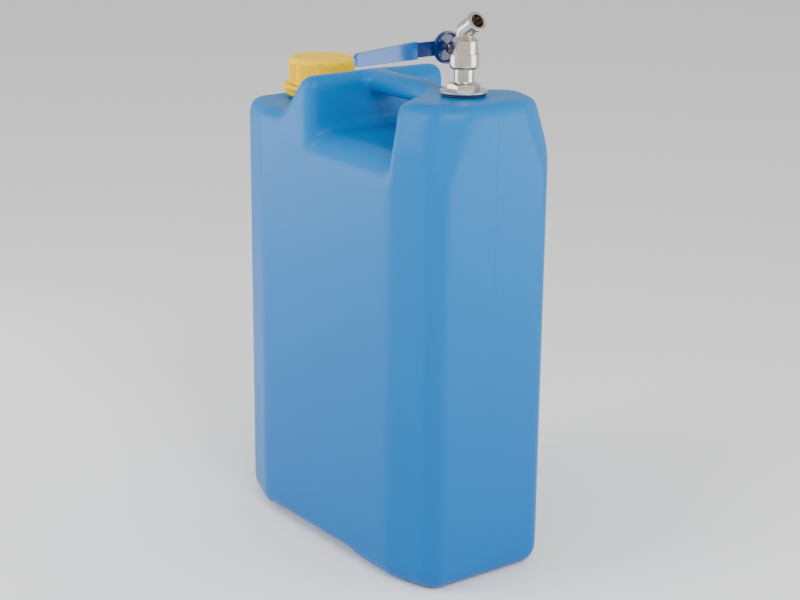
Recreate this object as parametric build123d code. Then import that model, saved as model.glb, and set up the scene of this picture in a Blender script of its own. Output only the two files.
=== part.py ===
from build123d import *
import math
import os

# Water canister of blown plastic with a screw cap at the rear and a small ball
# valve on the front block. The frame: X runs along the can from the cap to the
# valve, Y across it, Z up from the floor, with the origin in the middle of the base.

# Can, outside
can_length = 346.0
can_width = 171.0
deck_height = 444.0
block_rise = 36.0
hump_rise = 42.0
wall = 2.6

# Plan of the can, from the narrow front face round to the rear face
front_bevel = 12.0
side_facet_length = 43.0
side_facet_inset = 13.5
rear_facet_length = 47.0
rear_facet_inset = 15.5
rear_corner_length = 20.0
rear_corner_inset = 14.0
bevel_radius = 6.0
crease_radius = 12.0
rear_corner_radius = 22.0

# Base: rounded edge, a recess under each long side, and a channel between the front feet
base_radius = 20.0
arch_height = 11.0
arch_rear_x = -98.0
arch_front_x = 50.0
arch_slope = 14.0
arch_radius = 10.0
keel_inset = 40.5
channel_height = 2.5
channel_width = 64.0
channel_radius = 30.0

# Rounded edges of the upper body
edge_radius = 11.5

# Step from the rear deck up to the hump
swan_foot_inset = 102.0
swan_top_inset = 138.0
swan_radius = 12.5

# Planes that cut the upper corners of the block
hip_drop = 78.0
hip_height = 56.0
hip_inward = 21.0
hip_side_back = 16.0
hip_side_out = 13.0
hip_side_rise = 36.0
lean_drop = 44.0
lean_angle = 16.7

# Finger space under the handle
grip_rear_inset = 156.5
grip_depth = 14.0
grip_roll_radius = 28.0
grip_front_inset = 93.0
grip_middle_half = 20.0
grip_middle_radius = 18.0

# Handle bar
handle_width = 30.0
handle_depth = 22.0
handle_chamfer = 6.5
handle_fall_inset = 118.0
handle_root_inset = 81.0
handle_bend_radius = 40.0
handle_overlap = 14.0

# Filler neck, cap and tamper ring
neck_inset = 52.0
neck_diameter = 58.6
neck_bore = 51.6
neck_rise = 37.0
neck_flare = 4.0
neck_bead_diameter = 66.0
neck_bead_height = 3.0
neck_bead_rise = 9.0
thread_crest = 61.0
thread_gap = 0.5
cap_diameter = 70.5
cap_skirt_rise = 14.4
cap_plate = 2.4
cap_rim = 1.4
cap_rim_width = 4.5
cap_edge_chamfer = 1.6
cap_grooves = 60
cap_groove_depth = 0.9
seal_thickness = 1.6
seal_gap = 0.4
ring_top_width = 8.1
ring_low_width = 5.1
ring_height = 11.0
ring_gap = 0.4
ring_edge = 2.0
ring_lip = 1.6
ring_to_cap = 0.4

# Tap: fixing on the can
valve_inset = 53.5
hole_gap = 0.75
shank_diameter = 20.5
shank_drop = 18.0
fit_gap = 0.05
flow_bore = 13.0
gasket_diameter = 42.0
gasket_thickness = 3.0
washer_diameter = 46.0
washer_thickness = 2.5
washer_edge = 0.8
inner_gasket_diameter = 34.0
inner_gasket_thickness = 2.5
lock_nut_flats = 32.0
lock_nut_height = 8.0
nut_chamfer_angle = 30.0
nut_face = 0.98

# Tap: nipple between the can and the valve
nipple_flats = 27.0
nipple_hex_height = 6.2
nipple_neck_diameter = 19.3
nipple_neck_height = 13.3
nipple_flare = 2.4
nipple_spigot_diameter = 17.2
nipple_spigot = 5.5

# Tap: end cap and body of the ball valve
end_cap_diameter = 28.3
end_cap_height = 4.2
end_cap_edge = 4.0
end_cap_web = 1.5
spigot_diameter = 24.0
body_collar_height = 10.4
body_diameter = 25.3
body_height = 12.4
body_shoulder = 4.0
tube_diameter = 17.0
bend_rise = 5.3
outlet_angle = 60.0
outlet_length = 21.5
collar_diameter = 19.5
collar_length = 4.5
collar_edge = 1.0
seal_ring_section = 1.2
seal_ring_rise = 0.8

# Tap: ball, seats and stem
stem_height = 2.4
ball_diameter = 17.5
ball_port = 10.0
ball_gap = 0.3
seat_gap = 0.02
seat_bore = 11.0
seat_length = 5.4
chamber_depth = 9.6
stem_diameter = 5.0
stem_gap = 0.05
tang_width = 2.0
tang_depth = 1.6
tang_gap = 0.1
stem_collar_diameter = 7.8
stem_collar = 1.0
thrust_ring = 0.6
packing_diameter = 8.2
packing_length = 2.6
boss_diameter = 11.0
boss_length = 5.3
gland_flats = 11.0
gland_length = 3.6
gland_spigot = 0.6

# Tap: lever
hub_to_valve = 28.5
hub_diameter = 31.5
hub_cup = 4.0
hub_corner = 2.5
hub_hole_radius = 10.0
hub_hole_diameter = 2.0
hub_holes = 4
lever_plate = 2.0
lever_bend_y = -31.0
lever_bend_out = 3.4
lever_tip_y = -109.0
lever_tip_in = 6.5
lever_root_width = 14.0
lever_tip_width = 9.6
lever_tip_round = 0.9
lever_droop = 1.6
sleeve_wall = 1.3
sleeve_start_y = -33.0
sleeve_end = 1.6
lever_nut_flats = 8.0
lever_nut_height = 4.0
lock_washer_diameter = 9.0
lock_washer_thickness = 1.2
stem_end = 1.5

# Places along the can that follow from the sizes above
front_end = can_length / 2
rear_end = -can_length / 2
front_face_width = can_width - 2 * (side_facet_inset + front_bevel)
rear_face_width = can_width - 2 * (rear_facet_inset + rear_corner_inset)
keel_width = can_width - 2 * keel_inset
swan_foot_x = rear_end + swan_foot_inset
swan_top_x = rear_end + swan_top_inset
grip_rear_x = rear_end + grip_rear_inset
grip_middle_x = front_end - grip_front_inset
handle_fall_x = front_end - handle_fall_inset
handle_root_x = front_end - handle_root_inset
neck_x = rear_end + neck_inset
valve_x = front_end - valve_inset
hub_x = valve_x - hub_to_valve
lever_bend_x = hub_x - lever_bend_out
lever_tip_x = hub_x + lever_tip_in

# Heights that follow from the sizes above
block_top = deck_height + block_rise
hump_top = deck_height + hump_rise
hip_low = block_top - hip_drop
hip_high = hip_low + hip_height
lean_start = block_top - lean_drop
grip_floor = deck_height - grip_depth
neck_top = deck_height + neck_rise
neck_bead_z = deck_height + neck_bead_rise
cap_skirt_z = deck_height + cap_skirt_rise
washer_z = block_top + gasket_thickness
hex_z = washer_z + washer_thickness
nipple_neck_z = hex_z + nipple_hex_height
end_cap_z = nipple_neck_z + nipple_neck_height
body_z = end_cap_z + end_cap_height
step_z = body_z + body_collar_height
stem_z = step_z + stem_height
shoulder_z = step_z + body_height
bend_z = shoulder_z + body_shoulder + bend_rise
web_z = end_cap_z + nipple_spigot + end_cap_web
chamber_top = stem_z + chamber_depth
chamber_radius = ball_diameter / 2 + ball_gap
seal_z = neck_top + seal_thickness
reach = 2 * can_length


def slab(points, half_width):
    """Solid with an outline in the XZ plane, equally far to both sides of it."""
    outline = Plane.XZ * make_face(Polyline(*points, close=True))
    return extrude(outline, amount=half_width, both=True)


def corners_at(face, *places):
    """The corners of a flat outline at the given places."""
    found = []
    for x, y in places:
        found += [v for v in face.vertices() if abs(v.X - x) < 0.01 and abs(v.Y - y) < 0.01]
    return found


def ring(outer, inner, height):
    """Flat ring that stands on its own plane."""
    return extrude(Circle(outer) - Circle(inner), amount=height)


def hexagon(flats, height, bore):
    """Hexagon nut blank with a bore and, on top, the turned chamfer of a nut."""
    corner = flats / math.sqrt(3)
    blank = extrude(RegularPolygon(radius=corner, side_count=6) - Circle(bore), amount=height)
    face = flats / 2 * nut_face
    drop = (corner - face) * math.tan(math.radians(nut_chamfer_angle))
    outline = Polyline((0, 0), (corner, 0), (corner, height - drop), (face, height), (0, height), close=True)
    return blank & revolve(Plane.XZ * make_face(outline), Axis.Z)


def plan_half():
    """Corners of the can's plan on one side, from the front face to the rear face."""
    front = can_length / 2
    side = can_width / 2
    return [
        (front, front_face_width / 2, bevel_radius),
        (front - front_bevel, front_face_width / 2 + front_bevel, bevel_radius),
        (front - front_bevel - side_facet_length, side, crease_radius),
        (rear_corner_length + rear_facet_length - front, side, rear_corner_radius),
        (rear_corner_length - front, side - rear_facet_inset, rear_corner_radius),
        (-front, rear_face_width / 2, rear_corner_radius),
    ]


def plan_face(inset):
    """Plan of the can: a narrow front face with bevels, long sides and a faceted rear."""
    half = plan_half()
    points = [(x, -y) for x, y, r in half] + [(x, y) for x, y, r in reversed(half)]
    face = make_face(Polyline(*points, close=True))
    for x, y, radius in half:
        face = fillet(corners_at(face, (x, y), (x, -y)), radius)
    if inset:
        face = offset(face, amount=-inset)
    return face


def side_profile(inset):
    """Deck, S-shaped step, hump and block top, as one outline right across the can."""
    points = [
        (-reach, -reach),
        (-reach, deck_height),
        (swan_foot_x, deck_height),
        (swan_top_x, hump_top),
        (handle_fall_x, hump_top),
        (handle_root_x, block_top),
        (reach, block_top),
        (reach, -reach),
    ]
    face = make_face(Polyline(*points, close=True))
    face = fillet(corners_at(face, points[2], points[3]), swan_radius)
    face = fillet(corners_at(face, points[4], points[5]), handle_bend_radius)
    if inset:
        face = offset(face, amount=-inset)
    return extrude(Plane.XZ * face, amount=can_width, both=True)


def arch(inset):
    """Recesses under the middle of both long sides, with the flat keel between them."""
    points = [
        (arch_rear_x - arch_slope, -can_width),
        (arch_rear_x - arch_slope, 0),
        (arch_rear_x, arch_height),
        (arch_front_x, arch_height),
        (arch_front_x + arch_slope, 0),
        (arch_front_x + arch_slope, -can_width),
    ]
    face = make_face(Polyline(*points, close=True))
    face = fillet(corners_at(face, points[2], points[3]), arch_radius)
    if inset:
        face = offset(face, amount=inset)
    recess = extrude(Plane.XZ * face, amount=can_width, both=True)
    return recess - Box(reach, keel_width - 2 * inset, reach)


def channel(inset):
    """Shallow channel between the two front feet."""
    half = channel_width / 2
    points = [
        (-half - channel_height, -channel_radius),
        (-half - channel_height, 0),
        (-half, channel_height),
        (half, channel_height),
        (half + channel_height, 0),
        (half + channel_height, -channel_radius),
    ]
    face = make_face(Polyline(*points, close=True))
    if inset:
        face = offset(face, amount=inset)
    return Pos(arch_front_x + arch_slope, 0, 0) * extrude(Plane.YZ * face, amount=can_length)


def facet_front(side):
    """Where the long side turns into the side facet, and the facet's direction."""
    x = can_length / 2 - front_bevel - side_facet_length
    turn = can_width / 2 - front_face_width / 2 - front_bevel
    along = Vector(side_facet_length, -side * turn, 0).normalized()
    return x, along


def cut_hips(body, inset):
    """Takes off the two upper front corners of the block and leans its sides in."""
    front = can_length / 2 - inset
    half = front_face_width / 2 - inset
    for side in (-1, 1):
        low = Vector(front, side * half, hip_low - inset)
        high = Vector(front, side * (half - hip_inward), hip_high - inset)
        back = Vector(
            front - hip_side_back, side * (half + hip_side_out), hip_low + hip_side_rise - inset
        )
        normal = (high - low).cross(back - low)
        if normal.X < 0:
            normal = -normal
        body = split(body, Plane(origin=low, z_dir=normal), keep=Keep.BOTTOM)
        x, along = facet_front(side)
        outward = Vector(-along.Y, along.X, 0) * side
        lean = math.radians(lean_angle)
        normal = outward * math.cos(lean) + Vector(0, 0, 1) * math.sin(lean)
        edge = Vector(x, side * can_width / 2, lean_start) - normal * inset
        body = split(body, Plane(origin=edge, z_dir=normal), keep=Keep.BOTTOM)
    return body


def grip(inset):
    """Finger space right across the can, with a floor that rolls over into both sides."""
    front = can_length / 2 - front_bevel - side_facet_length
    side = can_width / 2
    slope = (front - grip_middle_x) / (side - grip_middle_half)
    out = side + edge_radius
    end = front + slope * edge_radius
    plan_points = [
        (grip_rear_x, -out),
        (end, -out),
        (grip_middle_x, -grip_middle_half),
        (grip_middle_x, grip_middle_half),
        (end, out),
        (grip_rear_x, out),
    ]
    face = make_face(Polyline(*plan_points, close=True))
    face = fillet(corners_at(face, plan_points[2], plan_points[3]), grip_middle_radius)
    if inset:
        face = offset(face, amount=inset)
    tower = extrude(Pos(0, 0, grip_floor - can_width / 2) * face, amount=can_width)
    roll = grip_roll_radius
    start = grip_floor - roll
    outside = Polyline(
        (side, start), (side + roll, start), (side + roll, block_top + roll),
        (-side - roll, block_top + roll), (-side - roll, start), (-side, start)
    )
    near = RadiusArc((-side, start), (roll - side, grip_floor), roll)
    floor = Line((roll - side, grip_floor), (side - roll, grip_floor))
    far = RadiusArc((side - roll, grip_floor), (side, start), roll)
    section = make_face(Wire(outside.edges() + near.edges() + floor.edges() + far.edges()))
    if inset:
        section = offset(section, amount=inset)
    return tower & extrude(Plane.YZ * section, amount=can_length, both=True)


def handle_bar(inset):
    """Handle from the hump to the block, with eight sides and a falling front end."""
    low = hump_top - handle_depth + inset
    top = hump_top - inset
    root = block_top - inset
    end = handle_root_x + handle_overlap
    points = [
        (swan_top_x, low),
        (swan_top_x, top),
        (handle_fall_x, top),
        (handle_root_x, root),
        (end, root),
        (end, low),
    ]
    bar = slab(points, handle_width / 2 - inset)
    long_edges = [e for e in bar.edges() if abs(e.tangent_at(0.5).X) > 0.9]
    return chamfer(long_edges, handle_chamfer - inset * (2 - math.sqrt(2)))


def round_top_edges(half, inset):
    """Rounds the deck, the step, the hump and the finger space's rear wall alike."""
    wall_x = grip_rear_x - inset
    rim = []
    for edge in half.edges():
        box = edge.bounding_box()
        on_middle = box.min.Y > -0.01
        above = box.min.Z > deck_height - 1 - inset and box.max.X < grip_rear_x + 1
        across = abs(edge.tangent_at(0.5).Y) > 0.99 and box.max.X > rear_corner_length - can_length / 2
        rear_wall = abs(box.min.X - wall_x) < 0.1 and abs(box.max.X - wall_x) < 0.1
        top_of_wall = rear_wall and box.max.Z > hump_top - 1 - inset
        if not on_middle and (top_of_wall or (above and not across and not rear_wall)):
            rim.append(edge)
    return fillet(rim, edge_radius - inset)


def can_form(inset):
    """The blown form of the can, or the form inside its wall when inset."""
    body = extrude(Pos(0, 0, inset) * plan_face(inset), amount=hump_top + edge_radius)
    foot = [e for e in body.edges() if e.bounding_box().max.Z < inset + 0.01]
    body = fillet(foot, base_radius - inset)
    body = body & side_profile(inset)
    body = body - arch(inset)
    body = body - channel(inset)
    body = cut_hips(body, inset)
    body = body - grip(inset)
    half = round_top_edges(split(body, Plane.XZ, keep=Keep.TOP), inset)
    return half + mirror(half, about=Plane.XZ) + handle_bar(inset)


def can_body():
    """Hollow can with its neck and the hole for the tap."""
    shell = can_form(0) - can_form(wall)
    radius = neck_diameter / 2
    shell += Pos(neck_x, 0, deck_height - wall) * Cylinder(
        radius, neck_top - deck_height + wall, align=(Align.CENTER, Align.CENTER, Align.MIN)
    )
    flare = Polyline(
        (0, deck_height - wall / 2), (radius + neck_flare, deck_height - wall / 2),
        (radius + neck_flare, deck_height), (radius, deck_height + neck_flare), (0, deck_height + neck_flare),
        close=True
    )
    shell += Pos(neck_x, 0, 0) * revolve(Plane.XZ * make_face(flare), Axis.Z)
    shell += Pos(neck_x, 0, neck_bead_z) * Cylinder(
        neck_bead_diameter / 2, neck_bead_height, align=(Align.CENTER, Align.CENTER, Align.MIN)
    )
    shell -= Pos(neck_x, 0, deck_height - 2 * wall) * Cylinder(
        neck_bore / 2, neck_top, align=(Align.CENTER, Align.CENTER, Align.MIN)
    )
    shell -= Pos(valve_x, 0, block_top - 2 * wall) * Cylinder(
        shank_diameter / 2 + hole_gap, 4 * wall, align=(Align.CENTER, Align.CENTER, Align.MIN)
    )
    return shell


def filler_cap():
    """Screw cap with fine upright grooves round its skirt and a rim round its flat top."""
    top = seal_z + cap_plate + cap_rim
    radius = cap_diameter / 2
    outline = Circle(radius)
    outline -= PolarLocations(radius, cap_grooves) * RegularPolygon(cap_groove_depth, 4)
    cap = extrude(Pos(0, 0, cap_skirt_z) * outline, amount=top - cap_skirt_z)
    rounded = Pos(0, 0, cap_skirt_z) * Cylinder(
        radius, top - cap_skirt_z, align=(Align.CENTER, Align.CENTER, Align.MIN)
    )
    cap = cap & chamfer(rounded.edges().sort_by(Axis.Z)[-1], cap_edge_chamfer)
    cap -= Pos(0, 0, seal_z + cap_plate) * Cylinder(
        radius - cap_rim_width, cap_rim + 1, align=(Align.CENTER, Align.CENTER, Align.MIN)
    )
    cap -= Pos(0, 0, seal_z) * Cylinder(
        thread_crest / 2 + thread_gap, top, align=(Align.CENTER, Align.CENTER, Align.MAX)
    )
    return Pos(neck_x, 0, 0) * cap


def cap_seal():
    """Soft disc that lies between the neck's rim and the cap."""
    disc = Cylinder(
        thread_crest / 2 + thread_gap - seal_gap, seal_thickness, align=(Align.CENTER, Align.CENTER, Align.MIN)
    )
    return Pos(neck_x, 0, neck_top) * disc


def tamper_ring():
    """Flared ring below the cap, held under the bead of the neck."""
    top = cap_skirt_z - ring_to_cap
    low = top - ring_height
    inner = neck_bead_diameter / 2 + ring_gap
    lip = neck_diameter / 2 + neck_flare / 2
    points = [
        (lip, low),
        (inner + ring_low_width, low),
        (inner + ring_top_width, top - ring_edge),
        (inner + ring_top_width, top),
        (inner, top),
        (inner, low + ring_lip),
        (lip, low + ring_lip),
    ]
    return Pos(neck_x, 0, 0) * revolve(Plane.XZ * make_face(Polyline(*points, close=True)), Axis.Z)


def flange_gasket():
    """Soft ring between the can and the steel washer."""
    return Pos(valve_x, 0, block_top) * ring(
        gasket_diameter / 2, shank_diameter / 2 + hole_gap, gasket_thickness
    )


def flange_washer():
    """Steel washer with broken edges."""
    washer = ring(washer_diameter / 2, shank_diameter / 2 + fit_gap, washer_thickness)
    rim = [e for e in washer.edges() if e.bounding_box().size.X > washer_diameter - 1]
    washer = chamfer(rim, washer_edge)
    return Pos(valve_x, 0, washer_z) * washer


def tank_nipple():
    """Turned fitting: shank through the can, hexagon, slim neck and threaded end."""
    bore = flow_bore / 2
    shank = Pos(0, 0, block_top - shank_drop) * ring(
        shank_diameter / 2, bore, hex_z - block_top + shank_drop
    )
    nut = Pos(0, 0, hex_z) * hexagon(nipple_flats, nipple_hex_height, bore)
    neck = nipple_neck_diameter / 2
    low = nipple_neck_z
    points = [(bore, low), (neck + nipple_flare, low)]
    outline = Polyline(*points) + ThreePointArc(
        (neck + nipple_flare, low),
        (neck + nipple_flare * (1 - math.sin(math.pi / 4)), low + nipple_flare * (1 - math.cos(math.pi / 4))),
        (neck, low + nipple_flare),
    )
    outline += Polyline((neck, low + nipple_flare), (neck, end_cap_z), (bore, end_cap_z), (bore, low))
    stalk = revolve(Plane.XZ * make_face(outline.edges()), Axis.Z)
    spigot = Pos(0, 0, end_cap_z) * ring(nipple_spigot_diameter / 2, bore, nipple_spigot)
    return Pos(valve_x, 0, 0) * (shank + nut + stalk + spigot)


def inner_gasket():
    """Soft ring against the inside of the can's top."""
    return Pos(valve_x, 0, block_top - wall - inner_gasket_thickness) * ring(
        inner_gasket_diameter / 2, shank_diameter / 2 + hole_gap, inner_gasket_thickness
    )


def inner_lock_nut():
    """Thin nut on the shank inside the can."""
    nut = hexagon(lock_nut_flats, lock_nut_height, shank_diameter / 2 + fit_gap)
    low = block_top - wall - inner_gasket_thickness
    return Pos(valve_x, 0, low) * (Rot(180, 0, 0) * nut)


def seal_groove():
    """Groove for the sealing ring on the spigot of the end cap."""
    outer = spigot_diameter / 2
    return Pos(0, 0, body_z + seal_ring_rise) * ring(
        outer + 1, outer - seal_ring_section, seal_ring_section + fit_gap
    )


def valve_end_cap():
    """Lower end of the valve's housing, screwed onto the nipple and into the body."""
    bottom = (Align.CENTER, Align.CENTER, Align.MIN)
    block = Pos(0, 0, end_cap_z) * Cylinder(end_cap_diameter / 2, end_cap_height, align=bottom)
    block = fillet(block.edges().sort_by(Axis.Z)[0], end_cap_edge)
    block += Pos(0, 0, body_z) * Cylinder(spigot_diameter / 2, web_z - body_z, align=bottom)
    block -= Pos(0, 0, end_cap_z) * Cylinder(flow_bore / 2, end_cap_height + nipple_spigot, align=bottom)
    block -= Pos(0, 0, end_cap_z) * Cylinder(
        nipple_spigot_diameter / 2 + fit_gap, nipple_spigot, align=bottom
    )
    return Pos(valve_x, 0, 0) * (block - seal_groove())


def bent_pipe(radius, low, length):
    """Round bar that rises from a height, turns at the bend and leaves at the outlet."""
    rise = Pos(0, 0, low) * Cylinder(radius, bend_z - low, align=(Align.CENTER, Align.CENTER, Align.MIN))
    knee = Pos(0, 0, bend_z) * Sphere(radius)
    leg = Pos(0, 0, bend_z) * (
        Rot(0, outlet_angle, 0) * Cylinder(radius, length, align=(Align.CENTER, Align.CENTER, Align.MIN))
    )
    return rise + knee + leg


def sideways(solid, x):
    """Puts a piece that was made along +Z on the stem's line, pointing to the lever."""
    return Pos(x, 0, stem_z) * (Rot(0, -90, 0) * solid)


def valve_body():
    """Upper half of the housing, with the ball chamber, the stem boss and the bent outlet."""
    radius = body_diameter / 2
    tube = tube_diameter / 2
    points = [
        (0, body_z),
        (end_cap_diameter / 2, body_z),
        (end_cap_diameter / 2, step_z),
        (radius, step_z),
        (radius, shoulder_z),
        (tube, shoulder_z + body_shoulder),
        (0, shoulder_z + body_shoulder),
    ]
    body = revolve(Plane.XZ * make_face(Polyline(*points, close=True)), Axis.Z)
    body += bent_pipe(tube, shoulder_z, outlet_length)
    collar = Cylinder(collar_diameter / 2, collar_length, align=(Align.CENTER, Align.CENTER, Align.MAX))
    collar = chamfer(collar.edges().filter_by(GeomType.CIRCLE), collar_edge)
    body += Pos(0, 0, bend_z) * (Rot(0, outlet_angle, 0) * (Pos(0, 0, outlet_length) * collar))
    body = Pos(valve_x, 0, 0) * body
    boss_end = valve_x - radius - boss_length
    boss = Cylinder(boss_diameter / 2, boss_length + radius / 2, align=(Align.CENTER, Align.CENTER, Align.MIN))
    body += sideways(boss, valve_x - radius / 2)
    body -= Pos(valve_x, 0, body_z) * Cylinder(
        spigot_diameter / 2 + fit_gap, web_z - body_z, align=(Align.CENTER, Align.CENTER, Align.MIN)
    )
    body -= Pos(valve_x, 0, body_z) * Cylinder(
        chamber_radius, chamber_top - body_z, align=(Align.CENTER, Align.CENTER, Align.MIN)
    )
    body -= Pos(valve_x, 0, 0) * bent_pipe(flow_bore / 2, chamber_top - 1, outlet_length + 1)
    stem_hole = Cylinder(
        stem_diameter / 2 + stem_gap, radius + boss_length, align=(Align.CENTER, Align.CENTER, Align.MIN)
    )
    body -= sideways(stem_hole, valve_x)
    collar_room = Cylinder(
        stem_collar_diameter / 2 + fit_gap, chamber_radius + stem_collar + thrust_ring,
        align=(Align.CENTER, Align.CENTER, Align.MIN)
    )
    body -= sideways(collar_room, valve_x)
    chamber = Cylinder(
        packing_diameter / 2, packing_length + gland_spigot, align=(Align.CENTER, Align.CENTER, Align.MAX)
    )
    return body - sideways(chamber, boss_end)


def end_cap_seal():
    """Sealing ring in the groove between the two halves of the housing."""
    outer = spigot_diameter / 2
    return Pos(valve_x, 0, body_z + seal_ring_rise) * ring(
        outer, outer - seal_ring_section, seal_ring_section
    )


def ball():
    """Ball with its port shut across the flow, and a slot for the stem."""
    sphere = Sphere(ball_diameter / 2) - Rot(90, 0, 0) * Cylinder(ball_port / 2, ball_diameter)
    slot = Pos(-ball_diameter / 2, 0, 0) * Box(
        2 * (tang_depth + tang_gap), ball_diameter, tang_width + 2 * tang_gap
    )
    return Pos(valve_x, 0, stem_z) * (sphere - slot)


def seat(side):
    """Soft ring with a hollow face that the ball turns against."""
    start = web_z if side < 0 else chamber_top - seat_length
    blank = Pos(valve_x, 0, start) * ring(chamber_radius, seat_bore / 2, seat_length)
    return blank - Pos(valve_x, 0, stem_z) * Sphere(ball_diameter / 2 + seat_gap)


def stem():
    """Stem with a flat tang in the ball, an inner collar and a thread for the lever's nut."""
    tang_x = valve_x - ball_diameter / 2 + tang_depth
    collar_x = valve_x - chamber_radius - fit_gap
    end_x = hub_x - lever_plate - lock_washer_thickness - lever_nut_height - stem_end
    rod = sideways(
        Cylinder(stem_diameter / 2, collar_x - end_x, align=(Align.CENTER, Align.CENTER, Align.MIN)), collar_x
    )
    collar = sideways(
        Cylinder(stem_collar_diameter / 2, stem_collar, align=(Align.CENTER, Align.CENTER, Align.MIN)), collar_x
    )
    tang = Pos(tang_x, 0, stem_z) * Box(
        tang_x - collar_x + stem_collar / 2, stem_diameter, tang_width, align=(Align.MAX, Align.CENTER, Align.CENTER)
    )
    return rod + collar + tang


def stem_thrust_ring():
    """Thin slippery ring between the stem's collar and the housing."""
    x = valve_x - chamber_radius - fit_gap - stem_collar
    return sideways(ring(stem_collar_diameter / 2, stem_diameter / 2 + stem_gap, thrust_ring - fit_gap), x)


def stem_packing():
    """Soft packing round the stem under the gland nut."""
    x = valve_x - body_diameter / 2 - boss_length + gland_spigot + packing_length
    return sideways(ring(packing_diameter / 2, stem_diameter / 2 + stem_gap, packing_length), x)


def gland_nut():
    """Nut on the boss that presses the packing round the stem."""
    x = valve_x - body_diameter / 2 - boss_length
    bore = stem_diameter / 2 + stem_gap
    nut = sideways(hexagon(gland_flats, gland_length, bore), x)
    return nut + sideways(ring(packing_diameter / 2 - fit_gap, bore, gland_spigot), x + gland_spigot)


def lever_strip(thickness, width_gap, tip_gap):
    """Bent flat strip from the hub to the tip, tapering in width and round at its end."""
    back = hub_x - lever_plate / 2
    path = Polyline((back, 0), (back, -hub_hole_radius), (lever_bend_x, lever_bend_y), (lever_tip_x, lever_tip_y))
    outline = offset(path, amount=thickness / 2, kind=Kind.INTERSECTION, side=Side.BOTH)
    strip = extrude(
        Pos(0, 0, stem_z - hub_diameter / 2) * make_face(outline.edges()), amount=hub_diameter
    )
    root = lever_root_width / 2 + width_gap
    tip = lever_tip_width / 2 + width_gap
    end = lever_tip_y - tip_gap
    points = [(0, -root), (0, root), (lever_bend_y, root), (end, tip), (end, -tip), (lever_bend_y, -root)]
    side_view = make_face(Polyline(*points, close=True))
    side_view = fillet(corners_at(side_view, (end, tip), (end, -tip)), tip * lever_tip_round)
    limit = extrude(Plane.YZ * (Pos(0, stem_z) * side_view), amount=can_length)
    return strip & limit


def drooped(solid):
    """Turns a piece of the lever about the stem, so that its tip hangs a little."""
    return Pos(0, 0, stem_z) * Rot(lever_droop, 0, 0) * Pos(0, 0, -stem_z) * solid


def lever():
    """Pressed steel lever with a cupped hub that opens towards the valve."""
    back = hub_x - lever_plate
    radius = hub_diameter / 2
    cup = Cylinder(radius, lever_plate + hub_cup, align=(Align.CENTER, Align.CENTER, Align.MIN))
    cup = fillet(cup.edges().sort_by(Axis.Z)[0], hub_corner + lever_plate / 2)
    hollow = Pos(0, 0, lever_plate) * Cylinder(
        radius - lever_plate, lever_plate + hub_cup, align=(Align.CENTER, Align.CENTER, Align.MIN)
    )
    hollow = fillet(hollow.edges().sort_by(Axis.Z)[0], hub_corner - lever_plate / 2)
    turned = Pos(back, 0, stem_z) * (Rot(0, 90, 0) * (cup - hollow))
    inside = Pos(hub_x, 0, stem_z) * (Rot(0, 90, 0) * hollow.moved(Location((0, 0, -lever_plate))))
    body = turned + (lever_strip(lever_plate, 0, 0) - inside)
    hole = Rot(0, 90, 0) * Cylinder(stem_diameter / 2 + stem_gap, 4 * lever_plate)
    body -= Pos(back, 0, stem_z) * hole
    for index in range(hub_holes):
        angle = 360 * (index + 0.5) / hub_holes
        dot = Pos(0, hub_hole_radius, 0) * (Rot(0, 90, 0) * Cylinder(hub_hole_diameter / 2, 4 * lever_plate))
        body -= Pos(back, 0, stem_z) * (Rot(angle, 0, 0) * dot)
    return drooped(body)


def lever_sleeve():
    """Soft sleeve over the outer part of the lever."""
    skin = lever_strip(lever_plate + 2 * sleeve_wall, sleeve_wall, sleeve_end)
    skin = split(skin, Plane(origin=(0, sleeve_start_y, 0), z_dir=(0, 1, 0)), keep=Keep.BOTTOM)
    return drooped(skin - lever_strip(lever_plate, 0, 0))


def lever_lock_washer():
    """Split washer between the lever and its nut."""
    washer = ring(lock_washer_diameter / 2, stem_diameter / 2 + stem_gap, lock_washer_thickness)
    washer -= Pos(0, lock_washer_diameter / 2, 0) * Box(
        lock_washer_thickness / 2, lock_washer_diameter, 4 * lock_washer_thickness
    )
    return sideways(washer, hub_x - lever_plate)


def lever_nut():
    """Nut that holds the lever on the stem."""
    nut = hexagon(lever_nut_flats, lever_nut_height, stem_diameter / 2 + stem_gap)
    return sideways(nut, hub_x - lever_plate - lock_washer_thickness)


def main():
    pieces = {
        "can_body": can_body(),
        "filler_cap": filler_cap(),
        "cap_seal": cap_seal(),
        "tamper_ring": tamper_ring(),
        "flange_gasket": flange_gasket(),
        "flange_washer": flange_washer(),
        "tank_nipple": tank_nipple(),
        "inner_gasket": inner_gasket(),
        "inner_lock_nut": inner_lock_nut(),
        "valve_end_cap": valve_end_cap(),
        "end_cap_seal": end_cap_seal(),
        "valve_body": valve_body(),
        "ball": ball(),
        "seat_lower": seat(-1),
        "seat_upper": seat(1),
        "stem": stem(),
        "stem_thrust_ring": stem_thrust_ring(),
        "stem_packing": stem_packing(),
        "gland_nut": gland_nut(),
        "lever": lever(),
        "lever_sleeve": lever_sleeve(),
        "lever_lock_washer": lever_lock_washer(),
        "lever_nut": lever_nut(),
    }
    os.makedirs("parts", exist_ok=True)
    for name, solid in pieces.items():
        export_step(solid, f"parts/{name}.step")
        box = solid.bounding_box()
        print(name, round(solid.volume), "mm3, top at", round(box.max.Z, 1))


main()
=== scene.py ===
# %% [markdown]
# # A blown plastic canister with a small ball valve
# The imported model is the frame: every piece made here takes its place and size from it.
# Lengths are in metres, X runs from the cap to the valve, and Z is up from the floor.

import bpy
import bmesh
import math
import numpy as np
from mathutils import Matrix, Vector


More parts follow.
